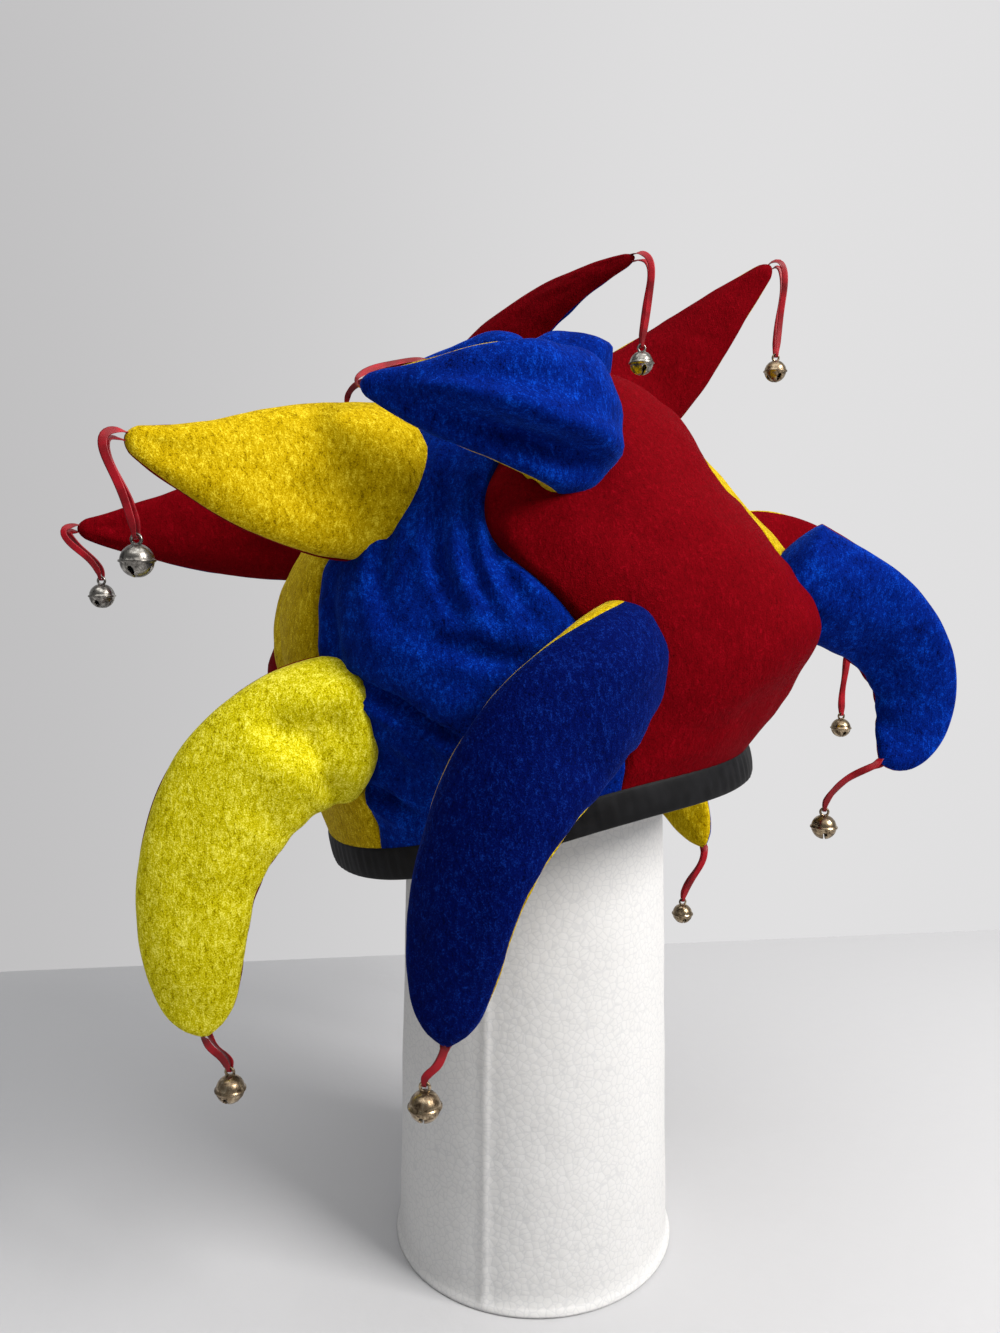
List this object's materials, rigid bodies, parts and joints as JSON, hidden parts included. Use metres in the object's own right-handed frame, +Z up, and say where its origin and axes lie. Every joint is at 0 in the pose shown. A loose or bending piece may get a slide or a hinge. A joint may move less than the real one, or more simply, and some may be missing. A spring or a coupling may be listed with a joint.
{
  "type": "jester hat on a display stand",
  "caption": "Soft jester hat in yellow, blue and red velour, its curved horns each ending in a bell on a ribbon, on a plain foam column.",
  "frame": {"origin": "middle of the stand's foot, on the surface it stands on", "axes": "+Z up, the hat's front looks along -Y, +X to the right of the front view"},
  "size_m": [0.4134, 0.2929, 0.4724],
  "materials": {
    "velour_yellow": "crushed pile",
    "velour_blue": "crushed pile",
    "velour_red": "crushed pile",
    "satin_black": "satin",
    "satin_red": "satin",
    "bell_metal": "tarnished",
    "foam": "moulded beads"
  },
  "bodies": {
    "root": {"horn_low_1_face": "velour_yellow", "horn_low_1_back": "velour_red", "ribbon_low_1": "satin_red", "bell_low_1": "bell_metal", "horn_low_2_face": "velour_blue", "horn_low_2_back": "velour_yellow", "ribbon_low_2": "satin_red", "bell_low_2": "bell_metal", "horn_low_3_face": "velour_red", "horn_low_3_back": "velour_blue", "ribbon_low_3": "satin_red", "bell_low_3": "bell_metal", "horn_low_4_face": "velour_yellow", "horn_low_4_back": "velour_red", "ribbon_low_4": "satin_red", "bell_low_4": "bell_metal", "horn_low_5_face": "velour_blue", "horn_low_5_back": "velour_yellow", "ribbon_low_5": "satin_red", "bell_low_5": "bell_metal", "horn_low_6_face": "velour_red", "horn_low_6_back": "velour_blue", "ribbon_low_6": "satin_red", "bell_low_6": "bell_metal", "horn_top_1_face": "velour_yellow", "horn_top_1_back": "velour_red", "ribbon_top_1": "satin_red", "bell_top_1": "bell_metal", "horn_top_2_face": "velour_blue", "horn_top_2_back": "velour_yellow", "ribbon_top_2": "satin_red", "bell_top_2": "bell_metal", "horn_top_3_face": "velour_red", "horn_top_3_back": "velour_blue", "ribbon_top_3": "satin_red", "bell_top_3": "bell_metal", "horn_top_4_face": "velour_yellow", "horn_top_4_back": "velour_red", "ribbon_top_4": "satin_red", "bell_top_4": "bell_metal", "horn_top_5_face": "velour_blue", "horn_top_5_back": "velour_red", "ribbon_top_5": "satin_red", "bell_top_5": "bell_metal", "horn_top_6_face": "velour_red", "horn_top_6_back": "velour_blue", "ribbon_top_6": "satin_red", "bell_top_6": "bell_metal", "panel_front_blue": "velour_blue", "panel_front_red": "velour_red", "panel_back_yellow": "velour_yellow", "panel_back_blue": "velour_blue", "panel_back_red": "velour_red", "panel_front_yellow": "velour_yellow", "rim_binding": "satin_black", "foam_stand": "foam"}
  },
  "joints": []
}
